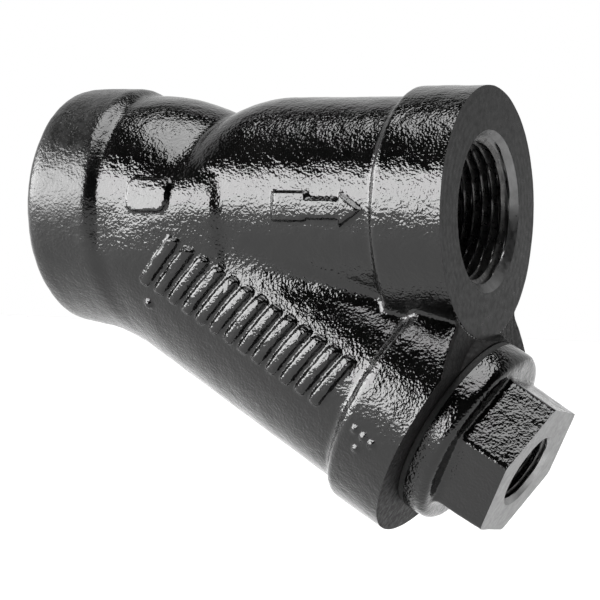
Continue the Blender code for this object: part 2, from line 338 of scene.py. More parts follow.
def cast(name, field, low, high, voxel, to_world=None, coarse=0.11, grain=0.05):
    """A rough casting of a field, meshed over a box."""
    low, high = np.array(low, float), np.array(high, float)
    sides = [np.arange(a, b + voxel, voxel, dtype=np.float32) for a, b in zip(low, high)]
    x, y, z = np.meshgrid(*sides, indexing="ij", sparse=True)
    points, faces = surface_net(field(x, y, z), low, voxel)
    points, normals = settle(points, field)
    bumps = coarse * noise_at(points, 6.5) + grain * noise_at(points + 40, 2.1)
    points = points + normals * bumps[:, None]
    if to_world:
        points = to_world(points)
    return new_object(name, points, faces)


def machine(obj, cutters, operation="DIFFERENCE"):
    """Cut or join other solids with Booleans, which are applied, and remove those solids."""
    for cutter in cutters:
        boolean = obj.modifiers.new(cutter.name, "BOOLEAN")
        boolean.operation = operation
        boolean.solver = "MANIFOLD"
        boolean.object = cutter
        cutter.hide_render = True
    bpy.context.view_layer.update()
    graph = bpy.context.evaluated_depsgraph_get()
    done = bpy.data.meshes.new_from_object(obj.evaluated_get(graph))
    obj.modifiers.clear()
    obj.data = done
    for cutter in cutters:
        bpy.data.objects.remove(cutter)
    return obj


def block(name, axis, low, high):
    """A box between two corners, given along an axis's own frame."""
    low, high = np.array(low, float), np.array(high, float)
    corners = np.array([(i, j, k) for k in (0, 1) for j in (0, 1) for i in (0, 1)])
    faces = [(0, 2, 3, 1), (4, 5, 7, 6), (0, 1, 5, 4), (2, 6, 7, 3), (0, 4, 6, 2), (1, 3, 7, 5)]
    return new_object(name, axis.to_world(low + corners * (high - low)), faces)


# ---------------------------------------------------------------- distance fields


def join(a, b, soft):
    """The union of two fields, with a fillet."""
    near = np.maximum(soft - np.abs(a - b), 0) / soft
    return np.minimum(a, b) - near * near * soft / 4


def limit(a, b, soft):
    """What two fields share, with a rounded edge."""
    near = np.maximum(soft - np.abs(a - b), 0) / soft
    return np.maximum(a, b) + near * near * soft / 4


def branch_places(x, z):
    """How far along the branch a point is, and how far above its axis."""
    dx, dz = x - branch.origin[0], z - branch.origin[2]
    return dx * branch.z[0] + dz * branch.z[2], -dx * branch.z[2] + dz * branch.z[0]


def ease(value, low, high):
    """0 below low and 1 above high, with a smooth rise between them."""
    share = np.clip((value - low) / (high - low), 0, 1)
    return share * share * (3 - 2 * share)


def neck_shape(x, z, from_run):
    """The neck behind the inlet collar. It narrows mostly on top, where it meets the shoulder."""
    top = NECK_SIDE_FALL + (1 - NECK_SIDE_FALL) * ease(z / (from_run + 1e-6), 0.15, 0.85)
    fall = NECK_FALL * np.maximum(x - NECK_START, 0) ** NECK_POWER
    return limit(from_run - NECK_RADIUS + fall * top, np.abs(x - 24) - 22, 1.0)


def body_shape(x, y, z):
    """The body's outside, before relief: two pipes that branch past a rounded shoulder, with collars."""
    s, up = branch_places(x, z)
    from_run = np.hypot(y, z)
    from_branch = np.hypot(up, y)
    collar_start = BRANCH_FACE - BRANCH_COLLAR_LENGTH
    tube_radius = BRANCH_RADIUS + (BRANCH_END_RADIUS - BRANCH_RADIUS) * np.clip(s / collar_start, 0, 1)
    tube = limit(from_branch - tube_radius, s - BRANCH_FACE + 1, 0.5)
    pipe = limit(from_run - RUN_RADIUS, x - LENGTH - MACHINING_ALLOWANCE, 0.5)
    shoulder = SHOULDER_FOOT + (SHOULDER - SHOULDER_FOOT) * ease(up, -14, 6)
    barrel = limit(join(pipe, tube, 4.0), shoulder - s, SHOULDER_ROUND)
    inlet = limit(from_run - COLLAR_RADIUS, x - COLLAR_LENGTH, 2.6)
    inlet = limit(inlet, -x - MACHINING_ALLOWANCE, 6.0)
    fuller = (SPOT_FACE_RADIUS - COLLAR_RADIUS) * ease(-z, 4, 26)
    outlet = limit(from_run - COLLAR_RADIUS - fuller, LENGTH - OUTLET_COLLAR_LENGTH - x, 1.6)
    outlet = limit(outlet, x - LENGTH - MACHINING_ALLOWANCE, 0.5)
    collar = limit(from_branch - BRANCH_COLLAR_RADIUS, collar_start - s, 2.4)
    collar = limit(collar, x - BRANCH_COLLAR_REACH, 1.0)
    rim = limit(from_branch - BRANCH_RIM_RADIUS, collar_start - s, 1.0)
    collar = limit(join(collar, rim, 1.0), s - BRANCH_FACE - MACHINING_ALLOWANCE, 0.5)
    blend = 1.2 + 5 * ease(-z, -16, 2)
    shape = join(join(inlet, neck_shape(x, z, from_run), 2.0), barrel, blend)
    shape = join(join(shape, outlet, 1.8), collar, 2.2)
    past_face = np.minimum(x - LENGTH + 0.15, from_run - SPOT_FACE_RADIUS + 0.3)
    return np.maximum(shape, np.minimum(past_face, from_branch - BRANCH_RIM_RADIUS - 0.5))


def raised(distance):
    """1 inside a flat outline and 0 outside it, with a sloping edge."""
    return ease(-distance, -RELIEF_EDGE / 2, RELIEF_EDGE / 2)


def slab(u, v, half_width, half_height, slant=0.0, corner=0.8):
    """The distance to a slanted slab with rounded corners, centred on zero."""
    along = np.abs(u - slant * v) - half_width + corner
    over = np.abs(v) - half_height + corner
    outside = np.hypot(np.maximum(along, 0), np.maximum(over, 0))
    return outside + np.minimum(np.maximum(along, over), 0) - corner


def arrow(u, v):
    """The distance to a flow arrow from u = 0: a tail, a shaft, and a head that droops a little."""
    tail = slab(u - 4.4, v, 4.4, 3.1)
    shaft = slab(u - 11, v + 0.4, 7.5, 2.1)
    head = np.maximum(16.6 - u, (np.abs(v + 0.5) * 5.0 + (u - 21.8) * 3.4) / 6.0)
    return np.minimum(np.minimum(tail, shaft), head)


def relief(x, y, z):
    """How far cast marks stand out of the front: an arrow, a row of slanted ribs, a pad and pips."""
    s, up = branch_places(x, z)
    front = np.minimum(y, -1e-6)
    around_run = RUN_RADIUS * np.arctan2(z, -front)
    around_branch = (BRANCH_RADIUS + 0.5) * np.arctan2(up, -front)
    tail_slope = np.clip((x - ARROW_START + 0.2) / ARROW_TAIL_SLOPE, 0, 1)
    marks = 1.2 * raised(arrow(x - ARROW_START, around_run - 1.3)) * tail_slope
    for index in range(RIB_COUNT):
        rib = slab(s - RIB_START - RIB_PITCH * index, around_branch - 0.3, 1.25, 6.3, 0.22)
        marks = np.maximum(marks, 1.15 * raised(rib))
    pad = slab(x - PAD_PLACE, around_run - 3.4, 5.4, 3.6, corner=2.4)
    marks = np.maximum(marks, 1.3 * raised(pad))
    marks = np.maximum(marks, raised(np.hypot(s - 25.3, around_branch + 10.3) - 0.9))
    for place, arc in PIP_PLACES:
        marks = np.maximum(marks, 0.6 * raised(np.hypot(s - place, around_branch - arc) - 0.7))
    return RELIEF_HEIGHT * marks * (y < 0)


def body_field(x, y, z):
    """The body's outside with its relief, which is worked out only near the surface."""
    shape = body_shape(x, y, z)
    if shape.ndim < 3:
        return shape - relief(x, y, z)
    near = np.abs(shape) < 3 * RELIEF_HEIGHT
    x, y, z = np.broadcast_arrays(x, y, z)
    shape[near] -= relief(x[near], y[near], z[near])
    return shape


def cap_field(a, b, s):
    """The cap's head: a round flange, and a hexagon with draft and soft corners."""
    radius = np.hypot(a, b)
    flange = limit(radius - FLANGE_RADIUS, s - FLANGE_END, 2.4)
    flange = limit(flange, FLANGE_START - MACHINING_ALLOWANCE - s, 0.4)
    flat_radius = HEX_FLAT_RADIUS - HEX_DRAFT * (s - FLANGE_END)
    hexagon = None
    for side in range(6):
        angle = HEX_TURN + math.radians(30 + 60 * side)
        flat = a * math.cos(angle) + b * math.sin(angle) - flat_radius
        hexagon = flat if hexagon is None else limit(hexagon, flat, 0.9)
    hexagon = limit(hexagon, s - HEX_END - MACHINING_ALLOWANCE, 0.4)
    hexagon = limit(hexagon, FLANGE_END - 3 - s, 0.4)
    return join(flange, hexagon, 1.6)


# ---------------------------------------------------------------- threads


def thread_rows(start, end, pitch):
    """Heights close enough together to show a thread's flanks."""
    return np.linspace(start, end, int((end - start) / pitch * ROWS_PER_PITCH))


def thread_wave(heights, pitch, phase=0.0):
    """A right-hand thread's shape, 0 at one flank's end and 1 at the other, at each height and angle."""
    turn = np.arange(ROUND_STEPS) / ROUND_STEPS
    place = (heights[:, None] / pitch - turn[None, :] + phase) % 1
    return np.clip((1 - np.abs(2 * place - 1) - 0.1) / 0.8, 0, 1)


def fade(heights, start, end):
    """0 at start, rising to 1 at end."""
    return np.clip((heights - start) / (end - start), 0, 1)


def pipe_port(name, axis, mouth, inward, minor, mouth_radius, pitch, depth):
    """A cutter for a taper-threaded port. inward is +1 where the port runs up its axis from its mouth."""
    deep = thread_rows(-1.0, depth, pitch)
    wave = thread_wave(inward * deep, pitch, phase=0.68)
    height = pitch * NPT_DEPTH * fade(deep, depth - 0.4 * pitch, depth - 2 * pitch)
    radii = (minor - deep * NPT_TAPER)[:, None] + wave * height[:, None]
    radii = np.maximum(radii, (mouth_radius - deep)[:, None])
    heights = mouth + inward * deep
    if inward < 0:
        heights, radii = heights[::-1], radii[::-1]
    return revolved(name, axis, heights, radii)


# ---------------------------------------------------------------- the pieces


def make_body():
    """The body casting, then its three faces, its threaded ports, its passages and the cap's bore."""
    low = (-2.5, -30, -76)
    high = (112, 30, 29.5)
    body = cast("body_casting", body_field, low, high, VOXEL)
    wide = 60
    faces = [
        block("inlet_facing", run, (-wide, -wide, -20), (wide, wide, 0)),
        revolved("outlet_facing", run, (LENGTH, LENGTH + 20), (SPOT_FACE_RADIUS, SPOT_FACE_RADIUS)),
        block("branch_facing", branch, (-wide, -wide, BRANCH_FACE), (wide, wide, 2 * LENGTH)),
    ]
    ports = [
        pipe_port("inlet_port", run, 0, 1, PORT_RADIUS, PORT_MOUTH_RADIUS, NPT_1_PITCH, PORT_DEPTH),
        pipe_port("outlet_port", run, LENGTH, -1, PORT_RADIUS, PORT_MOUTH_RADIUS, NPT_1_PITCH, PORT_DEPTH),
    ]
    machine(body, faces)
    machine(body, ports)
    machine(body, passages())
    machine(body, [cap_bore()])
    return body


def passages():
    """The cored hollows: the inlet's passage, the chamber, the outlet's passage and the screen's seat."""
    wide = 60
    overlap = 0.6
    heights = (PORT_DEPTH - overlap, 60)
    inlet = revolved("inlet_passage", run, heights, [INLET_BORE_RADIUS] * 2, PASSAGE_STEPS)
    machine(inlet, [block("inlet_end", branch, (-wide, -wide, INLET_END), (wide, wide, 2 * LENGTH))])
    port_end = LENGTH - PORT_DEPTH
    heights = (5, port_end - 3, port_end, port_end + overlap)
    radii = [OUTLET_CHAMBER_RADIUS] * 2 + [OUTLET_BORE_RADIUS] * 2
    outlet = revolved("outlet_passage", run, heights, radii, PASSAGE_STEPS)
    machine(outlet, [block("outlet_end", branch, (-wide, -wide, -LENGTH), (wide, wide, OUTLET_START))])
    chamber_end = BRANCH_FACE - BRANCH_COLLAR_LENGTH - 2
    seat = (SEAT_BORE_START, SEAT_START, SEAT_START + 0.001, SEAT_END)
    heights = (*seat, CHAMBER_START, chamber_end, chamber_end + 2)
    radii = [SEAT_BORE_RADIUS] * 2 + [SEAT_RADIUS] * 2 + [CHAMBER_RADIUS] * 2 + [CAP_BORE_RADIUS - 0.1]
    chamber = revolved("chamber", branch, heights, radii, PASSAGE_STEPS)
    return [inlet, outlet, chamber]


def cap_bore():
    """The cutter for the cap's threaded bore in the branch."""
    start = BRANCH_FACE - BRANCH_COLLAR_LENGTH - 0.5
    heights = thread_rows(start, BRANCH_FACE + 1, CAP_PITCH)
    wave = thread_wave(heights, CAP_PITCH)
    depth = METRIC_DEPTH * CAP_PITCH
    near_face = np.maximum(heights - BRANCH_FACE + 1.2, 0)
    radii = CAP_BORE_RADIUS - depth + wave * depth
    radii = np.maximum(radii, (CAP_BORE_RADIUS - 0.9 + near_face)[:, None])
    radii = np.where(heights[:, None] < start + 1.4, CAP_BORE_RADIUS + 0.1, radii)
    return revolved("cap_bore", branch, heights, radii)


def make_cap():
    """The cap: its cast head, faced, joined to its turned and threaded spigot, and bored through."""
    low = (-24, -24, FLANGE_START - 3)
    high = (24, 24, HEX_END + 2.5)
    cap = cast("cap_casting", cap_field, low, high, CAP_VOXEL, branch.to_world, coarse=0.07, grain=0.045)
    wide = 40
    machine(
        cap,
        [
            block("flange_facing", branch, (-wide, -wide, FLANGE_START - 9), (wide, wide, FLANGE_START)),
            block("hexagon_facing", branch, (-wide, -wide, HEX_END), (wide, wide, HEX_END + 9)),
        ],
    )
    machine(cap, [spigot()], "UNION")
    bore = pipe_port(
        "blow_off_port",
        branch,
        HEX_END,
        -1,
        BLOW_OFF_RADIUS,
        BLOW_OFF_MOUTH_RADIUS,
        NPT_38_PITCH,
        BLOW_OFF_DEPTH,
    )
    cavity = revolved(
        "cap_cavity",
        branch,
        (CAP_START - 1, CAP_START, HEX_END - 17, HEX_END - 13.5),
        (12.2, 11.5, 11.2, 7.0),
        PASSAGE_STEPS,
    )
    return machine(cap, [bore, cavity])


def spigot():
    """The cap's turned end: a pilot for the screen's ferrule, then the male thread and its runout."""
    thread = thread_rows(SPIGOT_END, FLANGE_START - 2.2, CAP_PITCH)
    depth = METRIC_DEPTH * CAP_PITCH
    start_bevel = np.maximum(SPIGOT_END + 1.2 - thread, 0)
    root = SPIGOT_RADIUS - depth
    crest = 1 - thread_wave(thread, CAP_PITCH)
    radii = np.minimum(root + crest * (depth - CAP_THREAD_PLAY), (SPIGOT_RADIUS - start_bevel)[:, None])
    bevel = 0.7
    plain = [
        (CAP_START, PILOT_RADIUS - bevel),
        (CAP_START + bevel, PILOT_RADIUS),
        (SPIGOT_END - 0.001, PILOT_RADIUS),
    ]
    after = [(FLANGE_START - 2.1, root), (FLANGE_START + 1.5, root)]
    heights = np.concatenate([[s for s, _ in plain], thread, [s for s, _ in after]])
    rows = [np.full(ROUND_STEPS, radius) for _, radius in plain]
    rows += list(radii)
    rows += [np.full(ROUND_STEPS, radius) for _, radius in after]
    return revolved("spigot", branch, heights, np.array(rows))


def rounded_ring_profile(inner, outer, low, high, corner):
    """A rectangle's outline with rounded corners, anticlockwise."""
    points = 4
    centres = [
        (outer - corner, low + corner, -90),
        (outer - corner, high - corner, 0),
        (inner + corner, high - corner, 90),
        (inner + corner, low + corner, 180),
    ]
    profile = []
    for radius, height, start in centres:
        for step in range(points):
            angle = math.radians(start + 90 * step / (points - 1))
            profile.append((radius + corner * math.cos(angle), height + corner * math.sin(angle)))
    return profile


def make_gasket():
    """The gasket, a flat ring with soft edges that fills its gap but for a little play."""
    play = 0.03
    low, high = BRANCH_FACE + play, FLANGE_START - play
    return ring("gasket_ring", branch, rounded_ring_profile(GASKET_BORE, GASKET_RADIUS, low, high, 0.3))


def make_ferrule(name, closed, opened):
    """A rolled end ring: sheet folded over the cloth, with a round fold."""
    wall = 0.35
    inward = 1 if opened > closed else -1
    middle = (FERRULE_BORE + FERRULE_RADIUS) / 2
    outer, inner = FERRULE_RADIUS - middle, FERRULE_RADIUS - middle - wall
    outside = [(middle + outer, opened)]
    inside = [(middle - inner, opened)]
    fold = closed + inward * outer
    for step in range(9):
        angle = math.pi * step / 8
        outside.append((middle + outer * math.cos(angle), fold - inward * outer * math.sin(angle)))
        inside.append((middle - inner * math.cos(angle), fold - inward * inner * math.sin(angle)))
    outside.append((middle - outer, opened))
    inside.append((middle + inner, opened))
    profile = outside + inside
    if inward > 0:
        profile.reverse()
    return ring(name, branch, profile)


def make_strip():
    """The seam strip, a curved sheet with a row of spot welds pressed into it."""
    width, thick = 5.0, 0.3
    radius = STRIP_RADIUS - thick
    columns, rows = 15, 181
    across = np.linspace(-width / 2, width / 2, columns)
    along = np.linspace(STRIP_START, STRIP_END, rows)
    grid_across, grid_along = np.meshgrid(across, along)
    weld = (grid_along - STRIP_START) % 4.5 - 2.25
    dent = 0.14 * np.exp(-(grid_across**2 + weld**2) / 0.55)
    sheets = []
    for level in (radius, radius + thick):
        angle = math.pi / 2 + grid_across / radius
        out = level - dent
        sheets.append(np.stack([out * np.cos(angle), out * np.sin(angle), grid_along], axis=2).reshape(-1, 3))
    size = columns * rows
    faces = []
    for row in range(rows - 1):
        for column in range(columns - 1):
            a = row * columns + column
            b, c, d = a + 1, a + columns + 1, a + columns
            faces.append((a, b, c, d))
            faces.append((size + a, size + d, size + c, size + b))
    border = list(range(columns - 1))
    border += [row * columns + columns - 1 for row in range(rows - 1)]
    border += [(rows - 1) * columns + column for column in range(columns - 1, 0, -1)]
    border += [row * columns for row in range(rows - 1, 0, -1)]
    for here, there in zip(border, border[1:] + border[:1]):
        faces.append((here, size + here, size + there, there))
    return new_object("seam_strip", branch.to_world(np.concatenate(sheets)), faces)


def wire_mesh(name, centre_lines, radius):
    """Five-sided wires along pairs of a line of points and whether that line closes on itself."""
    sides = 5
    points, faces = [], []
    start = 0
    for line, closed in centre_lines:
        if closed:
            tangent = np.roll(line, -1, axis=0) - np.roll(line, 1, axis=0)
        else:
            tangent = np.gradient(line, axis=0)
        tangent /= np.linalg.norm(tangent, axis=1, keepdims=True)
        outward = line * np.array([1, 1, 0])
        outward /= np.linalg.norm(outward, axis=1, keepdims=True)
        sideways = np.cross(tangent, outward)
        outward = np.cross(sideways, tangent)
        angles = np.arange(sides) * math.tau / sides
        around = (
            line[:, None, :]
            + radius * np.cos(angles)[None, :, None] * outward[:, None, :]
            + radius * np.sin(angles)[None, :, None] * sideways[:, None, :]
        )
        count = len(line)
        points.append(around.reshape(-1, 3))
        for index in range(count if closed else count - 1):
            here, there = start + index * sides, start + (index + 1) % count * sides
            for side in range(sides):
                after = (side + 1) % sides
                faces.append((here + side, here + after, there + after, there + side))
        if not closed:
            faces.append(range(start + sides - 1, start - 1, -1))
            faces.append(range(start + (count - 1) * sides, start + count * sides))
        start += count * sides
    return new_object(name, branch.to_world(np.concatenate(points)), faces)


def make_cloth():
    """Plain-woven wire cloth rolled into a tube: rings over and under straight wires."""
    wire = 0.16
    middle = (CLOTH_BORE + CLOTH_RADIUS) / 2
    warps = 76
    pitch = math.tau * middle / warps
    rings = int((CLOTH_END - CLOTH_START) / pitch)
    lines = []
    for warp in range(warps):
        angle = math.tau * warp / warps
        step = np.arange(2 * rings + 1)
        lift = wire * np.cos(math.pi * (step / 2 + warp)) * (step % 2 == 0)
        height = CLOTH_START + (step + 0.5) * (CLOTH_END - CLOTH_START) / (2 * rings + 1)
        radius = middle + lift
        lines.append((np.stack([radius * math.cos(angle), radius * math.sin(angle), height], axis=1), False))
    for weft in range(rings + 1):
        step = np.arange(2 * warps)
        angle = math.tau * step / (2 * warps)
        lift = -wire * np.cos(math.pi * (step / 2 + weft)) * (step % 2 == 0)
        height = CLOTH_START + (2 * weft + 0.5) * (CLOTH_END - CLOTH_START) / (2 * rings + 1)
        radius = middle + lift
        flat = np.full(len(step), height)
        lines.append((np.stack([radius * np.cos(angle), radius * np.sin(angle), flat], axis=1), True))
    return wire_mesh("wire_cloth", lines, wire)


# ---------------------------------------------------------------- materials


class Finish:
    """A material under construction: a Principled shader and short ways to add nodes to it."""

    def __init__(self, name, metallic, roughness):
        self.material = bpy.data.materials.new(name)
        self.material.use_nodes = True
        self.tree = self.material.node_tree
        self.shader = self.tree.nodes["Principled BSDF"]
        self.shader.inputs["Metallic"].default_value = metallic
        self.shader.inputs["Roughness"].default_value = roughness
        self.place = self.tree.nodes.new("ShaderNodeTexCoord").outputs["Object"]

    def node(self, kind, **settings):
        made = self.tree.nodes.new(kind)
        for name, value in settings.items():
            setattr(made, name, value)
        return made

    def link(self, source, socket):
        self.tree.links.new(source, socket)

    def noise(self, size_mm, detail=2.0, roughness=0.5):
        """Noise with bumps of about this size in millimetres."""
        made = self.node("ShaderNodeTexNoise")
        made.inputs["Scale"].default_value = 1 / (size_mm * MM)
        made.inputs["Detail"].default_value = detail
        made.inputs["Roughness"].default_value = roughness
        self.link(self.place, made.inputs["Vector"])
        return made.outputs["Fac"]

    def ramp(self, source, stops):
        """A colour that goes from the first of two (place, colour) stops to the second."""
        made = self.node("ShaderNodeValToRGB")
        for element, (position, colour) in zip(made.color_ramp.elements, stops):
            element.position = position
            element.color = (*colour, 1)
        self.link(source, made.inputs["Fac"])
        return made.outputs["Color"]

    def spread(self, source, low, high, from_low=0.3, from_high=0.7):
        """A value from low to high, where the source goes from from_low to from_high."""
        made = self.node("ShaderNodeMapRange")
        made.inputs["From Min"].default_value = from_low
        made.inputs["From Max"].default_value = from_high
        made.inputs["To Min"].default_value = low
        made.inputs["To Max"].default_value = high
        self.link(source, made.inputs["Value"])
        return made.outputs["Result"]

    def bump(self, source, height_mm, strength, under=None):
        """Bumps on the surface, over those of an earlier bump where there is one."""
        made = self.node("ShaderNodeBump")
        made.inputs["Strength"].default_value = strength
        made.inputs["Distance"].default_value = height_mm * MM
        self.link(source, made.inputs["Height"])
        if under:
            self.link(under, made.inputs["Normal"])
        self.link(made.outputs["Normal"], self.shader.inputs["Normal"])
        return made.outputs["Normal"]

    def about(self, axis):
        """Coordinates in an axis's own frame."""
        turn = Matrix(axis.basis.tolist()).to_euler()
        made = self.node("ShaderNodeMapping", vector_type="POINT")
        moved = Matrix(axis.basis.tolist()) @ Vector(-axis.origin * MM)
        made.inputs["Location"].default_value = moved
        made.inputs["Rotation"].default_value = turn
        self.link(self.place, made.inputs["Vector"])
        return made.outputs["Vector"]


def enamel(name):
    """Glossy black enamel pooled over sand-cast iron, and duller on the inlet collar."""
    made = Finish(name, 0.0, 0.16)
    tint = made.ramp(made.noise(9, 3), [(0.3, (0.0007, 0.0007, 0.0007)), (0.75, (0.0018, 0.0018, 0.0017))])
    made.link(tint, made.shader.inputs["Base Color"])
    x = made.node("ShaderNodeSeparateXYZ")
    made.link(made.place, x.inputs["Vector"])
    dull = made.spread(x.outputs["X"], 0.24, 0.05, 14 * MM, 22 * MM)
    sheen = made.node("ShaderNodeMath", operation="ADD")
    made.link(made.spread(made.noise(2.6, 4), 0.0, 0.07), sheen.inputs[0])
    made.link(dull, sheen.inputs[1])
    made.link(sheen.outputs["Value"], made.shader.inputs["Roughness"])
    made.shader.inputs["IOR"].default_value = 1.45
    sand = made.bump(made.noise(1.6, 1, 0.5), 0.11, 0.8)
    made.bump(made.noise(0.6, 1, 0.5), 0.13, 0.9, sand)
    return made.material


def turned_iron(name, axis, painted_brightness, roughness):
    """Machined iron with fine turning marks about an axis. Each copy's tone is set to how bright its faces look
    under the lamps, so the copies are lit and shaded copies of one iron, with painted shade in the darker ones.
    """
    pitch_mm = 0.28
    made = Finish(name, 1.0, roughness)
    made.shader.inputs["Specular Tint"].default_value = (0.68, 0.68, 0.68, 1)
    place = made.about(axis)
    rings = made.node("ShaderNodeTexWave", wave_type="RINGS", rings_direction="Z")
    rings.inputs["Scale"].default_value = 1 / (pitch_mm * MM) / 20
    rings.inputs["Distortion"].default_value = 1.2
    rings.inputs["Detail"].default_value = 2
    rings.inputs["Detail Scale"].default_value = 30
    made.link(place, rings.inputs["Vector"])
    # Painted light and shade: this copy's tone follows how bright its faces look under the lamps.
    colour = made.ramp(made.noise(3.2, 5, 0.6), [(0.32, (0.72 * painted_brightness,) * 3), (0.7, (painted_brightness,) * 3)])
    made.link(colour, made.shader.inputs["Base Color"])
    sheen = made.spread(made.noise(1.4, 3), roughness - 0.07, roughness + 0.1)
    made.link(sheen, made.shader.inputs["Roughness"])
    pores = made.bump(made.noise(0.45, 3, 0.7), 0.05, 0.6)
    made.bump(rings.outputs["Fac"], 0.02, 0.5, pores)
    return made.material


def cut_thread(name):
    """Threads cut in iron, coloured dark."""
    made = Finish(name, 0.9, 0.3)
    colour = made.ramp(made.noise(2.2, 4), [(0.3, (0.035, 0.035, 0.035)), (0.75, (0.11, 0.108, 0.106))])
    made.link(colour, made.shader.inputs["Base Color"])
    made.link(made.spread(made.noise(0.9, 3), 0.22, 0.45), made.shader.inputs["Roughness"])
    made.bump(made.noise(0.35, 2), 0.03, 0.5)
    return made.material


def cored_iron_and_painted_shade(name):
    """The unpolished inside of the casting, also put as painted shade on the flat beside the outlet's face and on
    the branch's end.
    """
    made = Finish(name, 0.1, 0.6)
    colour = made.ramp(made.noise(4, 4), [(0.3, (0.003, 0.003, 0.003)), (0.8, (0.010, 0.009, 0.009))])
    made.link(colour, made.shader.inputs["Base Color"])
    made.shader.inputs["Specular IOR Level"].default_value = 0.2
    made.link(made.spread(made.noise(1.2, 3), 0.5, 0.75), made.shader.inputs["Roughness"])
    made.bump(made.noise(1.3, 4, 0.65), 0.4, 0.7)
    return made.material


def stainless(name, roughness, base):
    """Rolled stainless steel with a faint grain."""
    made = Finish(name, 1.0, roughness)
    low = tuple(0.8 * value for value in base)
    made.link(made.ramp(made.noise(2.0, 4), [(0.3, low), (0.7, base)]), made.shader.inputs["Base Color"])
    sheen = made.spread(made.noise(0.5, 3), roughness - 0.08, roughness + 0.12)
    made.link(sheen, made.shader.inputs["Roughness"])
    made.bump(made.noise(0.25, 2), 0.015, 0.4)
    return made.material


def fibre(name):
    """Compressed gasket fibre, coloured near black as painted shade for the gap it sits in."""
    made = Finish(name, 0.0, 0.85)
    colour = made.ramp(made.noise(0.6, 5, 0.7), [(0.3, (0.006, 0.006, 0.006)), (0.75, (0.016, 0.016, 0.016))])
    made.link(colour, made.shader.inputs["Base Color"])
    made.link(made.spread(made.noise(0.4, 3), 0.75, 0.95), made.shader.inputs["Roughness"])
    made.bump(made.noise(0.35, 4, 0.7), 0.08, 0.8)
    return made.material


def face_arrays(mesh):
    """Each face's centre in millimetres, and its normal."""
    count = len(mesh.polygons)
    centres = np.empty(count * 3, np.float32)
    normals = np.empty(count * 3, np.float32)
    mesh.polygons.foreach_get("center", centres)
    mesh.polygons.foreach_get("normal", normals)
    return centres.reshape(-1, 3) / MM, normals.reshape(-1, 3)


def set_finishes(obj, materials, index):
    """The object's materials, and which of them each of its faces has."""
    obj.data.materials.clear()
    for material in materials:
        obj.data.materials.append(material)
    obj.data.polygons.foreach_set("material_index", index.astype(np.int32))
    obj.data.update()


def finish_body(body, materials):
    """Enamel outside, turned iron darkened with painted shade on the run's faces and mouths, cut threads, and dark
    iron elsewhere.

    The flat beside the outlet's face and the branch's end, under the gasket, get the dark iron too, as painted
    shade.
    """
    centres, normals = face_arrays(body.data)
    at_run, at_branch = run.to_local(centres), branch.to_local(centres)
    from_run = np.hypot(at_run[:, 0], at_run[:, 1])
    from_branch = np.hypot(at_branch[:, 0], at_branch[:, 1])
    x, s = at_run[:, 2], at_branch[:, 2]
    index = np.full(len(centres), ENAMEL)
    in_run = (from_run < PORT_MOUTH_RADIUS + 0.1) & (x > 0.01) & (x < LENGTH - 0.01)
    in_branch = (from_branch < 19.7) & (s > 8) & (s < BRANCH_FACE - 0.01)
    index[in_run | in_branch] = CORED_AND_PAINTED_SHADE
    in_ports = in_run & ((x < PORT_DEPTH) | (x > LENGTH - PORT_DEPTH))
    index[in_ports] = THREAD
    index[in_branch & (s > BRANCH_FACE - BRANCH_COLLAR_LENGTH - 0.4)] = THREAD
    index[in_ports & (from_run > PORT_RADIUS + 0.9) & ((x < 2.3) | (x > LENGTH - 2.3))] = MOUTH
    index[(x < 0.01) | ((np.abs(x - LENGTH) < 0.01) & (np.abs(normals[:, 0]) > 0.9))] = FACED
    # Painted shade: the flat beside the outlet's face and the branch's end face take the dark iron, so that they
    # look as dark as shade makes them.
    shaded_flat_beside_face = (x > LENGTH - 0.6) & (from_run > SPOT_FACE_RADIUS) & (from_branch > BRANCH_RIM_RADIUS)
    index[shaded_flat_beside_face | (np.abs(s - BRANCH_FACE) < 0.02)] = CORED_AND_PAINTED_SHADE
    set_finishes(body, materials, index)


def finish_cap(cap, materials):
    """Enamel on the head, the lit copy of turned iron on the hexagon's end, and cut iron on the spigot and in the
    bore.
    """
    centres, normals = face_arrays(cap.data)
    local = branch.to_local(centres)
    radius, s = np.hypot(local[:, 0], local[:, 1]), local[:, 2]
    outward = np.sum(normals * (centres - branch.origin - np.outer(s, branch.z)), axis=1)
    index = np.full(len(centres), ENAMEL)
    index[s < FLANGE_START] = THREAD
    index[(outward < 0) & (radius < 12.4)] = THREAD
    in_mouth = (s > HEX_END - 1.3) & (outward < 0) & (radius < BLOW_OFF_MOUTH_RADIUS + 0.1)
    index[(s > HEX_END - 0.01) | in_mouth] = FACED
    set_finishes(cap, materials, index)


# ---------------------------------------------------------------- stage, lights and camera


def paper(name):
    """Matt pale paper, very slightly uneven."""
    made = Finish(name, 0.0, 0.9)
    colour = made.ramp(made.noise(300, 2), [(0.3, (0.588,) * 3), (0.7, (0.60,) * 3)])
    made.link(colour, made.shader.inputs["Base Color"])
    made.shader.inputs["Specular IOR Level"].default_value = 0.1
    return made.material


def make_floor(lowest):
    """A large pale floor, low enough for the cap and the screen to come out above it."""
    half = FLOOR_HALF_WIDTH
    level = lowest - WITHDRAWAL_ROOM
    corners = [(-half, -half, level), (half, -half, level), (half, half, level), (-half, half, level)]
    floor = new_object("floor", corners, [(0, 1, 2, 3)])
    floor.data.materials.append(paper("floor_paper"))


def direction_to(azimuth, elevation):
    """The unit vector towards an azimuth and an elevation. Azimuth 0 is in front, on the -Y side."""
    level = math.cos(elevation)
    return Vector((math.sin(azimuth) * level, -math.cos(azimuth) * level, math.sin(elevation)))


def aim(obj, place, target):
    """Puts a lamp or the camera at a place, facing the target."""
    obj.location = Vector(place)
    obj.rotation_euler = (Vector(target) - Vector(place)).to_track_quat("-Z", "Y").to_euler()


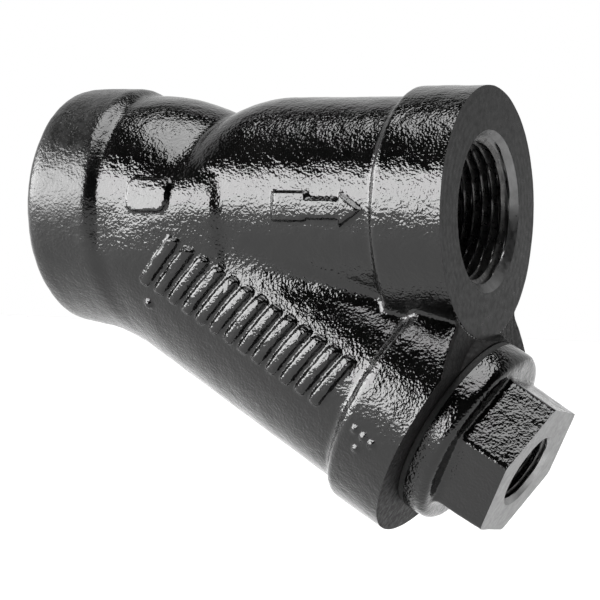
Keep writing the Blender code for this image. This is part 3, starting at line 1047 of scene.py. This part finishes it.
def softbox(name, target, azimuth, elevation, distance, width, height, radiance):
    """A rectangular light that faces the target, with its angles in degrees."""
    lamp = bpy.data.lights.new(name, "AREA")
    lamp.shape = "RECTANGLE"
    lamp.size = width
    lamp.size_y = height
    lamp.energy = radiance * width * height * math.pi
    obj = bpy.data.objects.new(name, lamp)
    bpy.context.scene.collection.objects.link(obj)
    away = direction_to(math.radians(azimuth), math.radians(elevation))
    aim(obj, target + away * distance, target)


def make_world():
    """A white studio: a backdrop behind the object, bright up to a height, and dark above the front."""
    world = bpy.data.worlds.new("studio")
    bpy.context.scene.world = world
    world.use_nodes = True
    tree = world.node_tree

    def node(kind, **settings):
        made = tree.nodes.new(kind)
        for name, value in settings.items():
            setattr(made, name, value)
        return made

    def rise(source, start, end, low=0.0, high=1.0):
        made = node("ShaderNodeMapRange", interpolation_type="SMOOTHSTEP")
        for socket, value in (("From Min", start), ("From Max", end), ("To Min", low), ("To Max", high)):
            made.inputs[socket].default_value = value
        tree.links.new(source, made.inputs["Value"])
        return made.outputs["Result"]

    def combined(operation, *sources):
        made = node("ShaderNodeMath", operation=operation)
        for socket, source in zip(made.inputs, sources):
            tree.links.new(source, socket)
        return made.outputs["Value"]

    direction = node("ShaderNodeTexCoord").outputs["Generated"]
    height = node("ShaderNodeSeparateXYZ")
    tree.links.new(direction, height.inputs["Vector"])
    behind = node("ShaderNodeVectorMath", operation="DOT_PRODUCT")
    tree.links.new(direction, behind.inputs[0])
    behind.inputs[1].default_value = (-math.sin(CAMERA_AZIMUTH), math.cos(CAMERA_AZIMUTH), 0)
    wall = combined(
        "MULTIPLY",
        rise(behind.outputs["Value"], -0.05, 0.25),
        rise(height.outputs["Z"], 0.70, 0.80, 0.85, 0.0),
    )
    ground = rise(height.outputs["Z"], -0.02, 0.01, 1.4, 0.005)
    seen = combined("MAXIMUM", wall, ground)

    shown = tree.nodes["Background"]
    shown.inputs["Color"].default_value = (1, 1, 1, 1)
    tree.links.new(seen, shown.inputs["Strength"])
    path = node("ShaderNodeLightPath")
    plain = node("ShaderNodeBackground")
    plain.inputs["Color"].default_value = (1, 1, 1, 1)
    mix = node("ShaderNodeMixShader")
    tree.links.new(path.outputs["Is Camera Ray"], mix.inputs["Fac"])
    tree.links.new(shown.outputs["Background"], mix.inputs[1])
    tree.links.new(plain.outputs["Background"], mix.inputs[2])
    tree.links.new(mix.outputs["Shader"], tree.nodes["World Output"].inputs["Surface"])


def make_camera(target):
    """The camera, to the right of the object's front and a little above it."""
    camera = bpy.data.cameras.new("camera")
    camera.sensor_width = 36
    camera.lens = CAMERA_LENS
    camera.shift_x, camera.shift_y = CAMERA_SHIFT
    camera.clip_start = 0.01
    camera.clip_end = 30
    obj = bpy.data.objects.new("camera", camera)
    bpy.context.scene.collection.objects.link(obj)
    aim(obj, target + direction_to(CAMERA_AZIMUTH, CAMERA_ELEVATION) * CAMERA_DISTANCE, target)
    bpy.context.scene.camera = obj


def place_piece(piece, body, node):
    """A piece takes the place of its CAD node, and moves with that node's body."""
    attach(piece, body)
    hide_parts(node)


def main():
    """Makes each piece with its finish, puts it on its body, and sets the stage."""
    black = enamel("black_enamel")
    threads = cut_thread("cut_iron")
    # Cored iron, also put on the flat beside the outlet's face and on the branch's end as painted shade.
    cored = cored_iron_and_painted_shade("cored_iron_and_painted_shade")
    # Lit and shaded copies of one turned iron: painted shade on the run's faces and mouths, the lit copy on the
    # hexagon's end.
    shaded_run_iron = turned_iron("turned_iron_run_painted_shade", run, 0.030, 0.34)
    shaded_mouth_iron = turned_iron("turned_iron_mouth_painted_shade", run, 0.17, 0.34)
    lit_branch_iron = turned_iron("turned_iron_branch_lit_copy", branch, 0.33, 0.36)

    body = make_body()
    finish_body(body, [black, shaded_run_iron, threads, cored, shaded_mouth_iron])
    smooth(body)
    place_piece(body, "body", "body")

    cap = make_cap()
    finish_cap(cap, [black, lit_branch_iron, threads])
    smooth(cap)
    place_piece(cap, "cap", "retainer_cap")

    gasket = make_gasket()
    gasket.data.materials.append(fibre("gasket_fibre"))
    smooth(gasket)
    place_piece(gasket, "gasket", "cap_gasket")

    sheet = stainless("stainless_sheet", 0.26, (0.56, 0.55, 0.53))
    for name, node, closed, opened in (
        ("upper_end_ring", "upper_ferrule", SCREEN_START, UPPER_END),
        ("lower_end_ring", "lower_ferrule", SCREEN_END, LOWER_START),
    ):
        ferrule = make_ferrule(name, closed, opened)
        ferrule.data.materials.append(sheet)
        smooth(ferrule, 50)
        place_piece(ferrule, "screen", node)
    strip = make_strip()
    strip.data.materials.append(sheet)
    smooth(strip, 50)
    place_piece(strip, "screen", "screen_seam_strip")
    cloth = make_cloth()
    cloth.data.materials.append(stainless("stainless_wire", 0.42, (0.44, 0.43, 0.42)))
    smooth(cloth, 70)
    place_piece(cloth, "screen", "screen_cloth")

    target = Vector(CAMERA_TARGET)
    make_camera(target)
    make_floor(cad_bounds[0][2] / MM)
    make_world()
    bpy.context.scene.view_settings.view_transform = "Standard"
    softbox("front_softbox", target, -45, 18, distance=2.5, width=3.4, height=1.5, radiance=16.0)
    softbox("top_softbox", target, 25, 83, distance=2.5, width=2.0, height=2.15, radiance=8.0)


main()
